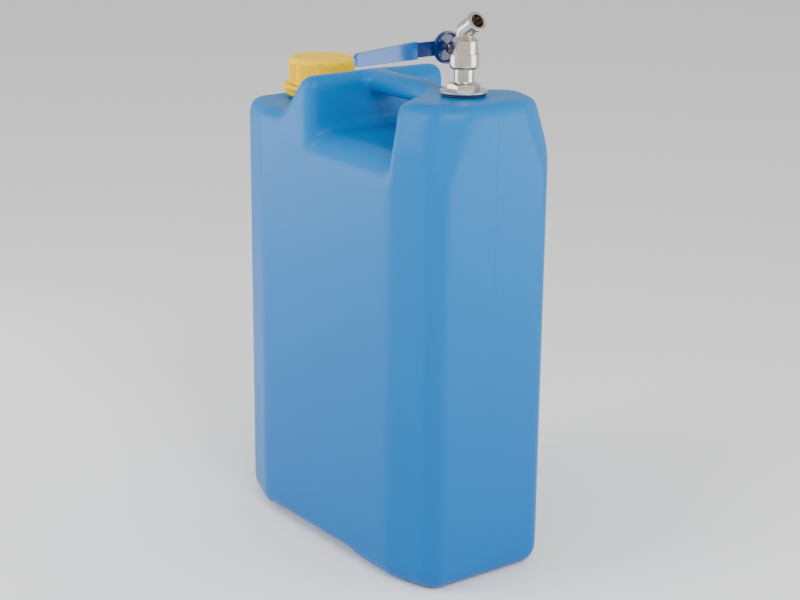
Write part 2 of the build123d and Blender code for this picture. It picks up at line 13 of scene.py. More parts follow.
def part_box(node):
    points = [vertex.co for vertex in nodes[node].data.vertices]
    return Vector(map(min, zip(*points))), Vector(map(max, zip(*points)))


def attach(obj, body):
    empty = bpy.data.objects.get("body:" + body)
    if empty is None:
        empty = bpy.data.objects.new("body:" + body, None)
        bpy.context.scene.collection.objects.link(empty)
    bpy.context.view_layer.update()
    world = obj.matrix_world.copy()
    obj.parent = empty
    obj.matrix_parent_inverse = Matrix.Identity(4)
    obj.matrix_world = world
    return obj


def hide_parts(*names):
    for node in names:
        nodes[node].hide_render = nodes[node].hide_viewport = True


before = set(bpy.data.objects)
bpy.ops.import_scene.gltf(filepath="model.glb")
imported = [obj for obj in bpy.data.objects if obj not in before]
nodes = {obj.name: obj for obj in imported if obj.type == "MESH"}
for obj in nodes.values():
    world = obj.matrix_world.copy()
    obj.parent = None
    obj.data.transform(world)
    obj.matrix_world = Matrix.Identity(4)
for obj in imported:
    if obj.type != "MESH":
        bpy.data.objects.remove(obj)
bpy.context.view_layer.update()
MM = 0.001

# %% [markdown]
# ## Camera
# The view is that of the photograph: a longish lens a little above the canister, in front
# of its narrow face and to one side. The camera's own axes are worked out from three turns,
# which is easier to check than a set of Euler angles.

# %% Camera
camera_place = Vector((1.4126, -1.0247, 0.7668))
camera_turn = math.radians(53.63)
camera_dip = math.radians(16.52)
camera_roll = math.radians(0.54)
focal_pixels = 1760.8
frame_pixels = 800

ahead = Vector((
    -math.sin(camera_turn) * math.cos(camera_dip),
    math.cos(camera_turn) * math.cos(camera_dip),
    -math.sin(camera_dip),
))
level_right = Vector((math.cos(camera_turn), math.sin(camera_turn), 0))
level_up = level_right.cross(ahead)
right = level_right * math.cos(camera_roll) + level_up * math.sin(camera_roll)
up = level_up * math.cos(camera_roll) - level_right * math.sin(camera_roll)

camera_data = bpy.data.cameras.new("camera")
camera_data.sensor_width = 36
camera_data.lens = focal_pixels / frame_pixels * camera_data.sensor_width
camera_data.clip_end = 50
camera = bpy.data.objects.new("camera", camera_data)
turn = Matrix((right, up, -ahead)).transposed().to_4x4()
camera.matrix_world = Matrix.Translation(camera_place) @ turn
bpy.context.scene.collection.objects.link(camera)
bpy.context.scene.camera = camera
print("lens", round(camera_data.lens, 1), "mm")

# %% [markdown]
# ## Helpers for pieces
# A finished piece is one mesh whose object sits at the origin. Its mesh is made with bmesh,
# smoothed by angle, and given to the body that carries it.

# %% Making a piece
def add_piece(name, mesh, body, material, stands_for=()):
    """Puts a finished mesh into the scene as a piece that rides on a body."""
    piece = bpy.data.objects.new(name, mesh)
    bpy.context.scene.collection.objects.link(piece)
    mesh.materials.clear()
    mesh.materials.append(material)
    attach(piece, body)
    if stands_for:
        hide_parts(*stands_for)
    print(name, len(mesh.polygons), "faces")


def as_mesh(name, bm, sharp_angle=35):
    """Turns a bmesh into a mesh that is smooth except over its sharper edges."""
    limit = math.radians(sharp_angle)
    for face in bm.faces:
        face.smooth = True
    for edge in bm.edges:
        edge.smooth = len(edge.link_faces) == 2 and edge.calc_face_angle(0) < limit
    mesh = bpy.data.meshes.new(name)
    bm.to_mesh(mesh)
    bm.free()
    return mesh


def node_copy(node):
    """A welded copy of a CAD node's mesh."""
    bm = bmesh.new()
    bm.from_mesh(nodes[node].data)
    bmesh.ops.remove_doubles(bm, verts=bm.verts, dist=2e-5)
    return bm


# %% [markdown]
# ## Helpers for finishes
# Every finish is a small tree of shader nodes. One function makes the shader, and short
# helpers add noise, a bump or a colour blend, so that each finish reads as a recipe.

# %% Making a finish
class Finish:
    """A material with one shader and the nodes that drive it."""

    def __init__(self, name, color, roughness, metallic=0.0, ior=1.5):
        self.material = bpy.data.materials.new(name)
        self.material.use_nodes = True
        self.tree = self.material.node_tree
        self.shader = self.tree.nodes["Principled BSDF"]
        self.set("Base Color", (*color, 1))
        self.set("Roughness", roughness)
        self.set("Metallic", metallic)
        self.set("IOR", ior)

    def set(self, socket, value):
        self.shader.inputs[socket].default_value = value

    def node(self, kind, **settings):
        made = self.tree.nodes.new(kind)
        for key, value in settings.items():
            setattr(made, key, value)
        return made

    def link(self, source, target):
        self.tree.links.new(source, target)

    def place(self, stretch=(1, 1, 1)):
        """Object coordinates, stretched so that a pattern can run along one axis."""
        where = self.node("ShaderNodeTexCoord")
        mapping = self.node("ShaderNodeMapping")
        mapping.inputs["Scale"].default_value = stretch
        self.link(where.outputs["Object"], mapping.inputs["Vector"])
        return mapping.outputs["Vector"]

    def noise(self, scale, detail=3.0, stretch=(1, 1, 1), roughness=0.5):
        made = self.node("ShaderNodeTexNoise")
        made.inputs["Scale"].default_value = scale
        made.inputs["Detail"].default_value = detail
        made.inputs["Roughness"].default_value = roughness
        self.link(self.place(stretch), made.inputs["Vector"])
        return made.outputs["Fac"]

    def spread(self, value, low, high, out_low=0.0, out_high=1.0):
        """Maps a value from one range to another, with soft ends kept inside it."""
        made = self.node("ShaderNodeMapRange")
        made.inputs["From Min"].default_value = low
        made.inputs["From Max"].default_value = high
        made.inputs["To Min"].default_value = out_low
        made.inputs["To Max"].default_value = out_high
        self.link(value, made.inputs["Value"])
        return made.outputs["Result"]

    def blend(self, amount, first, second):
        """Blends two colours by an amount."""
        made = self.node("ShaderNodeMix", data_type="RGBA")
        self.link(amount, made.inputs["Factor"])
        for name, color in (("A", first), ("B", second)):
            socket = [s for s in made.inputs if s.name == name and s.type == "RGBA"][0]
            if isinstance(color, tuple):
                socket.default_value = (*color, 1)
            else:
                self.link(color, socket)
        return [s for s in made.outputs if s.type == "RGBA"][0]

    def bump(self, height, strength, depth, normal=None):
        made = self.node("ShaderNodeBump")
        made.inputs["Strength"].default_value = strength
        made.inputs["Distance"].default_value = depth
        self.link(height, made.inputs["Height"])
        if normal is not None:
            self.link(normal, made.inputs["Normal"])
        return made.outputs["Normal"]


def linear(red, green, blue):
    """Colour as a screen shows it, 0 to 255, as the shader's linear values."""
    values = (red, green, blue)
    return tuple(((v / 255 + 0.055) / 1.055) ** 2.4 if v > 10 else v / 255 / 12.92 for v in values)


# %% [markdown]
# ## The blue plastic
# Blown polyethylene is a little translucent and has a waxy gloss. Its skin carries a very
# fine haze from the mould and slow waves where it cooled unevenly. Two noises of different
# scale give those. A thin raised line on the middle plane is where the mould's halves met,
# and a second one crosses the front where an insert in the mould ended. The colour is a
# little paler towards the top: a painted sheen, the reflection of the light above painted
# into the base colour.

# %% Blue plastic
def height_fade(finish, low, high):
    """How far up the canister a point lies, from 0 at the low end to 1 at the high end."""
    split = finish.node("ShaderNodeSeparateXYZ")
    finish.link(finish.place(), split.inputs["Vector"])
    return finish.spread(split.outputs["Z"], low, high), split


def line_at(finish, value, centre, half_width):
    """A soft ridge, 1 on the line and 0 beyond its half width."""
    away = finish.node("ShaderNodeMath", operation="SUBTRACT")
    finish.link(value, away.inputs[0])
    away.inputs[1].default_value = centre
    size = finish.node("ShaderNodeMath", operation="ABSOLUTE")
    finish.link(away.outputs[0], size.inputs[0])
    return finish.spread(size.outputs[0], 0.0, half_width, 1.0, 0.0)


def times(finish, first, second):
    """The product of two values of a finish."""
    made = finish.node("ShaderNodeMath", operation="MULTIPLY")
    finish.link(first, made.inputs[0])
    finish.link(second, made.inputs[1])
    return made.outputs[0]


def blue_plastic():
    """Waxy blown plastic with clouds, waves, a fine haze, the mould's two lines and a painted sheen
    that pales the colour towards the top.
    """
    finish = Finish("blown_blue_plastic", (0.0, 0.14, 0.42), 0.36)
    finish.set("Specular IOR Level", 0.15)
    # Painted sheen: the base colour pales with height, standing in for the reflection of the light
    # above.
    painted_sheen_rise, split = height_fade(finish, 0.0, 0.46)
    cloud = finish.noise(9.0, 2.0)
    deep = finish.blend(cloud, (0.0, 0.115, 0.365), (0.0, 0.124, 0.385))
    pale = finish.blend(cloud, (0.0, 0.158, 0.445), (0.0, 0.169, 0.465))
    finish.link(finish.blend(painted_sheen_rise, deep, pale), finish.shader.inputs["Base Color"])
    finish.link(finish.spread(cloud, 0.3, 0.7, 0.32, 0.40), finish.shader.inputs["Roughness"])
    waves = finish.noise(26.0, 2.0)
    haze = finish.noise(900.0, 3.0)
    slow = finish.bump(waves, 0.22, 0.0012)
    fine = finish.bump(haze, 0.10, 0.0002, slow)
    seam = finish.bump(line_at(finish, split.outputs["Y"], 0.0, 0.0006), 0.30, 0.0005, fine)
    front = finish.spread(split.outputs["X"], 0.168, 0.170)
    ledge = times(finish, line_at(finish, split.outputs["Z"], 0.3895, 0.0009), front)
    finish.link(finish.bump(ledge, 0.24, 0.0004, seam), finish.shader.inputs["Normal"])
    return finish.material


canister_plastic = blue_plastic()
print("finish:", canister_plastic.name)

# %% [markdown]
# ## The canister
# A blown can has no sharp edge anywhere: the plastic thins and rounds at each corner of
# the mould. The CAD skin gives the planes. Its outer skin is taken off, closed, rebuilt as
# an even grid with a voxel remesh and then relaxed, which rounds each edge as blowing does.

# %% Outer and inner skin
neck_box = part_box("filler_cap")
neck_x = (neck_box[0][0] + neck_box[1][0]) / 2
washer_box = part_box("flange_washer")
tap_x = (washer_box[0][0] + washer_box[1][0]) / 2
can_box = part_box("can_body")
hump_rise = 42 * MM
deck_z = can_box[1][2] - hump_rise
neck_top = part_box("cap_seal")[0][2]
tap_hole_radius = 11.0 * MM
neck_outer_radius = 29.3 * MM
neck_bore_radius = 25.8 * MM


def near_axis(point, x, radius):
    """Whether a point lies within a radius of the upright axis at x."""
    return math.hypot(point.x - x, point.y) < radius


def split_skins():
    """Parts the can's mesh at the neck's rim and at the tap's hole into outside and inside."""
    bm = node_copy("can_body")
    rim = []
    for face in bm.faces:
        at_neck = all(abs(v.co.z - neck_top) < 1e-5 for v in face.verts)
        in_hole = all(near_axis(v.co, tap_x, tap_hole_radius + 1e-4) for v in face.verts)
        if at_neck or (in_hole and abs(face.normal.z) < 0.5):
            rim.append(face)
    bmesh.ops.delete(bm, geom=rim, context="FACES_ONLY")
    for edge in [e for e in bm.edges if not e.link_faces]:
        bm.edges.remove(edge)
    for vert in [v for v in bm.verts if not v.link_faces]:
        bm.verts.remove(vert)
    return bm


def keep_skin(bm, outside):
    """Keeps the outer skin, which holds the foremost vertex, or else the inner one."""
    seed = max(bm.verts, key=lambda vert: vert.co.x)
    found = {seed}
    to_visit = [seed]
    while to_visit:
        for edge in to_visit.pop().link_edges:
            for vert in edge.verts:
                if vert not in found:
                    found.add(vert)
                    to_visit.append(vert)
    unwanted = [vert for vert in bm.verts if (vert in found) != outside]
    bmesh.ops.delete(bm, geom=unwanted, context="VERTS")
    return bm


outer_skin = keep_skin(split_skins(), True)
inner_skin = keep_skin(split_skins(), False)
print("outer skin", len(outer_skin.faces), "faces; inner skin", len(inner_skin.faces))

# %% [markdown]
# The neck is turned separately, so the outer skin loses it here and gets a flat patch on
# the deck instead. The inner skin is closed under the deck and under the tap's hole; both
# holes are drilled again later.

# %% Close both skins
def boundary_loops(bm):
    """Groups the open edges into loops."""
    open_edges = {e for e in bm.edges if len(e.link_faces) == 1}
    loops = []
    while open_edges:
        edge = open_edges.pop()
        loop = [edge]
        ends = list(edge.verts)
        while ends:
            vert = ends.pop()
            for other in vert.link_edges:
                if other in open_edges:
                    open_edges.discard(other)
                    loop.append(other)
                    ends.append(other.other_vert(vert))
        loops.append(loop)
    return loops


def close_outer(bm):
    """Takes the neck off the outer skin and closes what that leaves open."""
    flare_reach = neck_outer_radius + 4.5 * MM
    neck = [
        v for v in bm.verts if near_axis(v.co, neck_x, flare_reach) and v.co.z > deck_z + 1e-5
    ]
    bmesh.ops.delete(bm, geom=neck, context="VERTS")
    for loop in boundary_loops(bm):
        bmesh.ops.contextual_create(bm, geom=loop)
    bmesh.ops.triangulate(bm, faces=bm.faces)
    bmesh.ops.recalc_face_normals(bm, faces=bm.faces)


def close_inner(bm):
    """Closes the inner skin at both of its holes."""
    for loop in boundary_loops(bm):
        bmesh.ops.contextual_create(bm, geom=loop)
    bmesh.ops.triangulate(bm, faces=bm.faces)
    bmesh.ops.recalc_face_normals(bm, faces=bm.faces)


close_outer(outer_skin)
close_inner(inner_skin)
print("open edges left:", sum(len(e.link_faces) != 2 for e in outer_skin.edges),
      sum(len(e.link_faces) != 2 for e in inner_skin.edges))

# %% [markdown]
# ## Rounding the skin
# The remesh turns the skin into even squares. Each relaxing step moves a vertex towards
# the middle of its neighbours; on a flat wall nothing changes, while an edge rounds a
# little more with each step. A weight by place lets the block's top round more than the
# creases between the side's facets.

# %% Remesh and relax
skin_grid = 2.9 * MM
skin_steps = 28
inside_grid = 4.8 * MM
inside_steps = 10


def remeshed(bm, size):
    """The closed skin rebuilt as an even grid of squares of this size."""
    mesh = bpy.data.meshes.new("skin")
    bm.to_mesh(mesh)
    bm.free()
    holder = bpy.data.objects.new("skin", mesh)
    bpy.context.scene.collection.objects.link(holder)
    modifier = holder.modifiers.new("grid", "REMESH")
    modifier.mode = "VOXEL"
    modifier.voxel_size = size
    depsgraph = bpy.context.evaluated_depsgraph_get()
    result = bpy.data.meshes.new_from_object(holder.evaluated_get(depsgraph))
    bpy.data.objects.remove(holder)
    return result


def relax(mesh, steps, weight_of):
    """Moves each vertex towards the mean of its neighbours, by its own weight."""
    count = len(mesh.vertices)
    place = np.empty(count * 3)
    mesh.vertices.foreach_get("co", place)
    place = place.reshape(-1, 3)
    pairs = np.empty(len(mesh.edges) * 2, dtype=np.int64)
    mesh.edges.foreach_get("vertices", pairs)
    first, second = pairs.reshape(-1, 2).T
    valence = np.bincount(first, minlength=count) + np.bincount(second, minlength=count)
    weight = weight_of(place)[:, None]
    for _ in range(steps):
        total = np.zeros_like(place)
        for axis in range(3):
            total[:, axis] = np.bincount(first, place[second, axis], count)
            total[:, axis] += np.bincount(second, place[first, axis], count)
        place = place + weight * (total / valence[:, None] - place)
    mesh.vertices.foreach_set("co", place.ravel())
    mesh.update()


def edge_softness(place):
    """Softest on the block's upper corners, firm along the side's creases and the handle."""
    along, height = place[:, 0], place[:, 2]
    shoulder = np.clip((along - 0.098) / 0.02, 0, 1) * np.clip((height - 0.425) / 0.03, 0, 1)
    across = np.abs(place[:, 1])
    hump = np.clip((height - 0.425) / 0.03, 0, 1) * np.clip((across - 0.02) / 0.012, 0, 1)
    return np.clip(0.14 + 0.24 * hump + 0.50 * shoulder, 0, 0.78)


skin = remeshed(outer_skin, skin_grid)
relax(skin, skin_steps, edge_softness)
inside = remeshed(inner_skin, inside_grid)
relax(inside, inside_steps, edge_softness)
print("relaxed skins:", len(skin.vertices), "and", len(inside.vertices), "vertices")

# %% [markdown]
# The relaxed inner skin is taken out of the relaxed outer one, and two drills open the way
# into the neck and the hole for the tap. What is left is one closed shell.

# %% Hollow the skin
def drill(x, radius, low, high, sides=96):
    """A plain upright cylinder that cuts a round hole."""
    bm = bmesh.new()
    bmesh.ops.create_cone(
        bm, cap_ends=True, segments=sides, radius1=radius, radius2=radius, depth=high - low,
        matrix=Matrix.Translation((x, 0, (low + high) / 2)),
    )
    mesh = bpy.data.meshes.new("drill")
    bm.to_mesh(mesh)
    bm.free()
    return mesh


def cut_away(mesh, *tools):
    """The mesh less each of the tools' meshes, one after another."""
    whole = bpy.data.objects.new("whole", mesh)
    bpy.context.scene.collection.objects.link(whole)
    cutters = []
    for tool in tools:
        cutter = bpy.data.objects.new("cutter", tool)
        bpy.context.scene.collection.objects.link(cutter)
        step = whole.modifiers.new("cut", "BOOLEAN")
        step.operation = "DIFFERENCE"
        step.solver = "EXACT"
        step.object = cutter
        cutters.append(cutter)
    depsgraph = bpy.context.evaluated_depsgraph_get()
    result = bpy.data.meshes.new_from_object(whole.evaluated_get(depsgraph))
    for thing in (whole, *cutters):
        bpy.data.objects.remove(thing)
    return result


neck_drill = drill(neck_x, neck_bore_radius, deck_z - 14 * MM, deck_z + 16 * MM)
tap_drill = drill(tap_x, tap_hole_radius, deck_z + 16 * MM, deck_z + 56 * MM, 64)
can_mesh = cut_away(skin, inside, neck_drill, tap_drill)
for polygon in can_mesh.polygons:
    polygon.use_smooth = True
add_piece("canister", can_mesh, "can", canister_plastic, ("can_body",))

# %% [markdown]
# ## Turned and pressed pieces
# The fittings and the lever are right in shape already, so each one is a welded copy of
# its CAD mesh. What it lacks is the tiny round on every edge that catches light: a narrow
# bevel gives that, and smooth shading up to an angle hides the facets.

# %% Dressing a node
def dressed(node, name, body, material, bevel=0.15, sharp_angle=32):
    """A piece made from a CAD node, with its edges broken by a narrow bevel."""
    bm = node_copy(node)
    limit = math.radians(sharp_angle)
    bmesh.ops.dissolve_limit(
        bm, angle_limit=math.radians(0.5), verts=bm.verts, edges=bm.edges, delimit={"NORMAL"}
    )
    mesh = as_mesh(name, bm, sharp_angle)
    holder = bpy.data.objects.new(name, mesh)
    bpy.context.scene.collection.objects.link(holder)
    if bevel:
        edge = holder.modifiers.new("edge", "BEVEL")
        edge.width = bevel * MM
        edge.segments = 2
        edge.limit_method = "ANGLE"
        edge.angle_limit = limit
        edge.harden_normals = True
        edge.use_clamp_overlap = True
    depsgraph = bpy.context.evaluated_depsgraph_get()
    result = bpy.data.meshes.new_from_object(holder.evaluated_get(depsgraph))
    bpy.data.objects.remove(holder)
    add_piece(name, result, body, material, (node,))


# %% [markdown]
# ## Metal finishes
# The valve is cast brass with a nickel plate. The plate follows the casting, so cast faces
# keep a soft pebbled skin under a bright surface, while turned faces get a finer, fainter grain.

# %% Nickel and zinc
def nickel_finish(name, tint, roughness, grain):
    """Bright metal whose gloss varies softly and whose skin has a fine grain."""
    finish = Finish(name, linear(*tint), roughness, metallic=1.0)
    pebble = finish.noise(700.0, 4.0)
    mottle = finish.noise(60.0, 3.0)
    finish.link(finish.spread(mottle, 0.35, 0.65, roughness - 0.05, roughness + 0.08),
                finish.shader.inputs["Roughness"])
    finish.link(finish.bump(pebble, grain, 0.0002), finish.shader.inputs["Normal"])
    return finish.material


cast_nickel = nickel_finish("cast_nickel", (196, 187, 175), 0.24, 0.35)
turned_nickel = nickel_finish("turned_nickel", (200, 191, 179), 0.18, 0.12)
plated_zinc = nickel_finish("plated_zinc", (196, 200, 204), 0.34, 0.2)
polished_ball = nickel_finish("polished_ball", (222, 222, 220), 0.08, 0.02)
print("metals:", cast_nickel.name, turned_nickel.name, plated_zinc.name)

# %% [markdown]
# ## Soft and moulded finishes
# The cap is a harder, brighter moulding than the can. The gaskets are dull rubber, the
# seats are slippery white plastic, and the lever wears a dipped sleeve of shiny vinyl.

# %% Cap, rubber, seats and sleeve
def moulded_finish(name, color, roughness, grain_scale, grain, gloss=0.5):
    """Plastic or rubber of one colour with slight clouds and a fine grain."""
    finish = Finish(name, linear(*color), roughness)
    finish.set("Specular IOR Level", gloss)
    cloud = finish.noise(40.0, 2.0)
    shade = tuple(max(0, c - 9) for c in color)
    finish.link(finish.blend(cloud, linear(*shade), linear(*color)), finish.shader.inputs["Base Color"])
    fine = finish.noise(grain_scale, 3.0)
    finish.link(finish.bump(fine, grain, 0.0002), finish.shader.inputs["Normal"])
    return finish.material


cap_plastic = moulded_finish("yellow_cap_plastic", (255, 210, 0), 0.40, 1200.0, 0.08, 0.05)
black_rubber = moulded_finish("black_rubber", (34, 34, 36), 0.62, 900.0, 0.3)
# The gasket is real rubber, but its dark navy is painted shade: it stands in for the shadow line under
# the washer.
gasket_shade_navy = moulded_finish("gasket_rubber_painted_shade", (14, 44, 84), 0.58, 900.0, 0.3)
white_seat = moulded_finish("white_seat_plastic", (238, 237, 232), 0.35, 900.0, 0.1)
white_liner = moulded_finish("white_cap_liner", (232, 230, 222), 0.55, 500.0, 0.3)
sleeve_vinyl = moulded_finish("blue_sleeve_vinyl", (0, 92, 170), 0.14, 500.0, 0.12)
lever_lacquer = moulded_finish("blue_lever_lacquer", (0, 46, 108), 0.20, 700.0, 0.15)
print("mouldings:", cap_plastic.name, sleeve_vinyl.name)

# %% [markdown]
# ## A small lathe
# The cap, its ring and the neck are round, so each is spun from an outline of radius and
# height. The outline's corners are first swapped for short arcs, which give every edge its
# round.

# %% Lathe
def turned(points, segments=160):
    """Spins a closed outline of radius and height round the upright axis of the neck."""
    bm = bmesh.new()
    rings = []
    for index in range(segments):
        angle = 2 * math.pi * index / segments
        rings.append([
            bm.verts.new((neck_x + radius * math.cos(angle), radius * math.sin(angle), height))
            for radius, height in points
        ])
    for index in range(segments):
        one, two = rings[index], rings[(index + 1) % segments]
        for step in range(len(points)):
            after = (step + 1) % len(points)
            bm.faces.new((one[step], two[step], two[after], one[after]))
    bmesh.ops.recalc_face_normals(bm, faces=bm.faces)
    return bm


def rounded(points, radius, steps=4):
    """An outline whose corners are replaced by short arcs; the radius is in metres."""
    result = []
    count = len(points)
    for index, (x, z) in enumerate(points):
        before = Vector(points[index - 1]) - Vector((x, z))
        after = Vector(points[(index + 1) % count]) - Vector((x, z))
        reach = min(radius, before.length * 0.45, after.length * 0.45)
        start = Vector((x, z)) + before.normalized() * reach
        end = Vector((x, z)) + after.normalized() * reach
        for step in range(steps + 1):
            t = step / steps
            point = start * (1 - t) ** 2 + Vector((x, z)) * 2 * t * (1 - t) + end * t ** 2
            result.append((point.x, point.y))
    return result


# %% [markdown]
# ## Cap and ring
# The cap screws down over the neck until its liner seals on the rim. Its shell is one
# outline with a low lip round a slightly sunken top.

# %% Cap shell
cap_low, cap_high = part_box("filler_cap")
cap_radius = (cap_high[0] - cap_low[0]) / 2
seal_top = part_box("cap_seal")[1][2]
bore = 31.0 * MM
skirt_radius = cap_radius - 1.1 * MM
cap_outline = [
    (bore, cap_low[2]),
    (skirt_radius, cap_low[2]),
    (skirt_radius, cap_high[2] - 4.6 * MM),
    (skirt_radius - 1.2 * MM, cap_high[2] - 1.8 * MM),
    (skirt_radius - 4.2 * MM, cap_high[2]),
    (skirt_radius - 5.2 * MM, cap_high[2] - 0.1 * MM),
    (skirt_radius - 6.4 * MM, cap_high[2] - 0.9 * MM),
    (0.5 * MM, cap_high[2] - 0.7 * MM),
    (0.5 * MM, seal_top),
    (bore, seal_top),
]
cap_shell = as_mesh("cap_shell", turned(rounded(cap_outline, 0.9 * MM)), 40)
print("cap shell", len(cap_shell.polygons), "faces; radius", round(cap_radius * 1000, 2), "mm")

# %% [markdown]
# The skirt has nine plain bars for the fingers, with fine ribs between them. Both repeat
# round a circle, so one tree of Geometry Nodes sets a round bar on every chosen point of a
# circle: a flattened one for the bars and a thin one for the ribs.

# %% Ribs and bars
def grown(tree, values):
    """The mesh that a tree of geometry nodes makes from its named values."""
    holder = bpy.data.objects.new("grower", bpy.data.meshes.new("grower"))
    bpy.context.scene.collection.objects.link(holder)
    modifier = holder.modifiers.new("grow", "NODES")
    modifier.node_group = tree
    for item in tree.interface.items_tree:
        if item.in_out == "INPUT" and item.name in values:
            modifier[item.identifier] = values[item.name]
    depsgraph = bpy.context.evaluated_depsgraph_get()
    mesh = bpy.data.meshes.new_from_object(holder.evaluated_get(depsgraph))
    bpy.data.objects.remove(holder)
    return mesh


def ribs_tree(material):
    """Upright round bars on a circle of points, kept where the index falls inside a group."""
    tree = bpy.data.node_groups.new("ribs", "GeometryNodeTree")
    numbers = ("Radius", "Rib Radius", "Height", "Flatness")
    counts = ("Slots", "Group", "First", "Last", "Sides")
    for name in numbers:
        tree.interface.new_socket(name, in_out="INPUT", socket_type="NodeSocketFloat")
    for name in counts:
        tree.interface.new_socket(name, in_out="INPUT", socket_type="NodeSocketInt")
    tree.interface.new_socket("Geometry", in_out="OUTPUT", socket_type="NodeSocketGeometry")
    make, link = tree.nodes.new, tree.links.new
    given = make("NodeGroupInput").outputs
    index = make("GeometryNodeInputIndex").outputs[0]

    def math_node(operation, first, second):
        node = make("ShaderNodeMath")
        node.operation = operation
        for socket, value in zip(node.inputs, (first, second)):
            if isinstance(value, (int, float)):
                socket.default_value = value
            else:
                link(value, socket)
        return node.outputs[0]

    circle = make("GeometryNodeMeshCircle")
    link(given["Slots"], circle.inputs["Vertices"])
    link(given["Radius"], circle.inputs["Radius"])
    place = math_node("MODULO", index, given["Group"])
    above = math_node("GREATER_THAN", place, math_node("SUBTRACT", given["First"], 0.5))
    below = math_node("LESS_THAN", place, math_node("ADD", given["Last"], 0.5))
    chosen = math_node("MULTIPLY", above, below)
    rib = make("GeometryNodeMeshCylinder")
    link(given["Sides"], rib.inputs["Vertices"])
    link(given["Rib Radius"], rib.inputs["Radius"])
    link(given["Height"], rib.inputs["Depth"])
    turn = make("ShaderNodeCombineXYZ")
    step = math_node("DIVIDE", 2 * math.pi, given["Slots"])
    link(math_node("MULTIPLY", index, step), turn.inputs["Z"])
    size = make("ShaderNodeCombineXYZ")
    link(given["Flatness"], size.inputs["X"])
    size.inputs["Y"].default_value = 1
    size.inputs["Z"].default_value = 1
    spread = make("GeometryNodeInstanceOnPoints")
    link(circle.outputs["Mesh"], spread.inputs["Points"])
    link(chosen, spread.inputs["Selection"])
    link(rib.outputs["Mesh"], spread.inputs["Instance"])
    link(turn.outputs[0], spread.inputs["Rotation"])
    link(size.outputs[0], spread.inputs["Scale"])
    realize = make("GeometryNodeRealizeInstances")
    link(spread.outputs["Instances"], realize.inputs["Geometry"])
    paint = make("GeometryNodeSetMaterial")
    paint.inputs["Material"].default_value = material
    link(realize.outputs["Geometry"], paint.inputs["Geometry"])
    link(paint.outputs["Geometry"], make("NodeGroupOutput").inputs["Geometry"])
    return tree


def joined(name, meshes, sharp_angle=40):
    """One mesh from several, each already in its place."""
    bm = bmesh.new()
    for mesh in meshes:
        bm.from_mesh(mesh)
    return as_mesh(name, bm, sharp_angle)


cap_ribs_tree = ribs_tree(cap_plastic)
rib_height = cap_high[2] - cap_low[2] - 7.0 * MM
bar_height = cap_high[2] - cap_low[2] - 3.6 * MM
fine_ribs = grown(cap_ribs_tree, {
    "Radius": skirt_radius, "Rib Radius": 0.62 * MM, "Height": rib_height, "Flatness": 1.0,
    "Slots": 117, "Group": 13, "First": 2, "Last": 11, "Sides": 8,
})
finger_bars = grown(cap_ribs_tree, {
    "Radius": skirt_radius - 0.5 * MM, "Rib Radius": 3.3 * MM, "Height": bar_height, "Flatness": 0.46,
    "Slots": 9, "Group": 1, "First": 0, "Last": 0, "Sides": 28,
})
fine_ribs.transform(Matrix.Translation((neck_x, 0, cap_low[2] + 1.6 * MM + rib_height / 2)))
finger_bars.transform(Matrix.Translation((neck_x, 0, cap_low[2] + 0.4 * MM + bar_height / 2)))
cap_mesh = joined("screw_cap", [cap_shell, fine_ribs, finger_bars])
add_piece("screw_cap", cap_mesh, "cap", cap_plastic, ("filler_cap",))

# %% [markdown]
# The ring under the cap flares out to a rounded band, wider than the cap above it.

# %% Ring under the cap
ring_low, ring_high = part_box("tamper_ring")
ring_radius = (ring_high[0] - ring_low[0]) / 2
lip_radius = 31.3 * MM
lip_top = ring_low[2] + 1.6 * MM
ring_bore = 33.4 * MM
ring_outline = [
    (lip_radius, ring_low[2]),
    (ring_radius - 5.2 * MM, ring_low[2]),
    (ring_radius - 3.4 * MM, ring_low[2] + 1.2 * MM),
    (ring_radius - 2.6 * MM, ring_low[2] + 5.0 * MM),
    (ring_radius - 1.9 * MM, ring_low[2] + 5.4 * MM),
    (ring_radius, ring_high[2] - 2.2 * MM),
    (ring_radius, ring_high[2] - 0.6 * MM),
    (ring_radius - 1.6 * MM, ring_high[2]),
    (ring_bore, ring_high[2]),
    (ring_bore, lip_top),
    (lip_radius, lip_top),
]
ring_mesh = as_mesh("flared_ring", turned(rounded(ring_outline, 0.7 * MM, 3)), 40)
add_piece("flared_ring", ring_mesh, "can", cap_plastic, ("tamper_ring",))

# %% [markdown]
# ## The tap's fittings
# From the can upwards: rubber gasket, steel washer, nipple with its hexagon, the housing
# in two parts, and the stem with its gland nut.

# %% Fittings
# The gasket's navy colour is painted shade, the shadow under the washer.
dressed("flange_gasket", "rubber_flange_gasket", "can", gasket_shade_navy, 0.9)
dressed("flange_washer", "flange_plate_washer", "can", plated_zinc, 0.2)
dressed("tank_nipple", "nipple", "can", turned_nickel, 0.25)
dressed("valve_end_cap", "housing_end_cap", "can", turned_nickel, 0.25)
dressed("valve_body", "housing", "can", cast_nickel, 0.35, 28)
dressed("gland_nut", "packing_gland_nut", "can", turned_nickel, 0.15)
dressed("stem", "valve_stem", "lever_and_ball", turned_nickel, 0.1)
dressed("ball", "valve_ball", "lever_and_ball", polished_ball, 0.1)

# %% [markdown]
# ## The lever
# A pressed steel strip with a cupped hub. Its sleeve was dipped, so it is glossy and
# rounds over every edge of the strip.

# %% Lever
dressed("lever", "pressed_lever", "lever_and_ball", lever_lacquer, 0.3)
dressed("lever_sleeve", "dipped_sleeve", "lever_and_ball", sleeve_vinyl, 1.1)
dressed("lever_nut", "hub_nut", "lever_and_ball", plated_zinc, 0.15)
dressed("lever_lock_washer", "hub_lock_washer", "lever_and_ball", plated_zinc, 0.1)

# %% [markdown]
# ## Hidden pieces
# These stay as the CAD made them and only get their finishes.

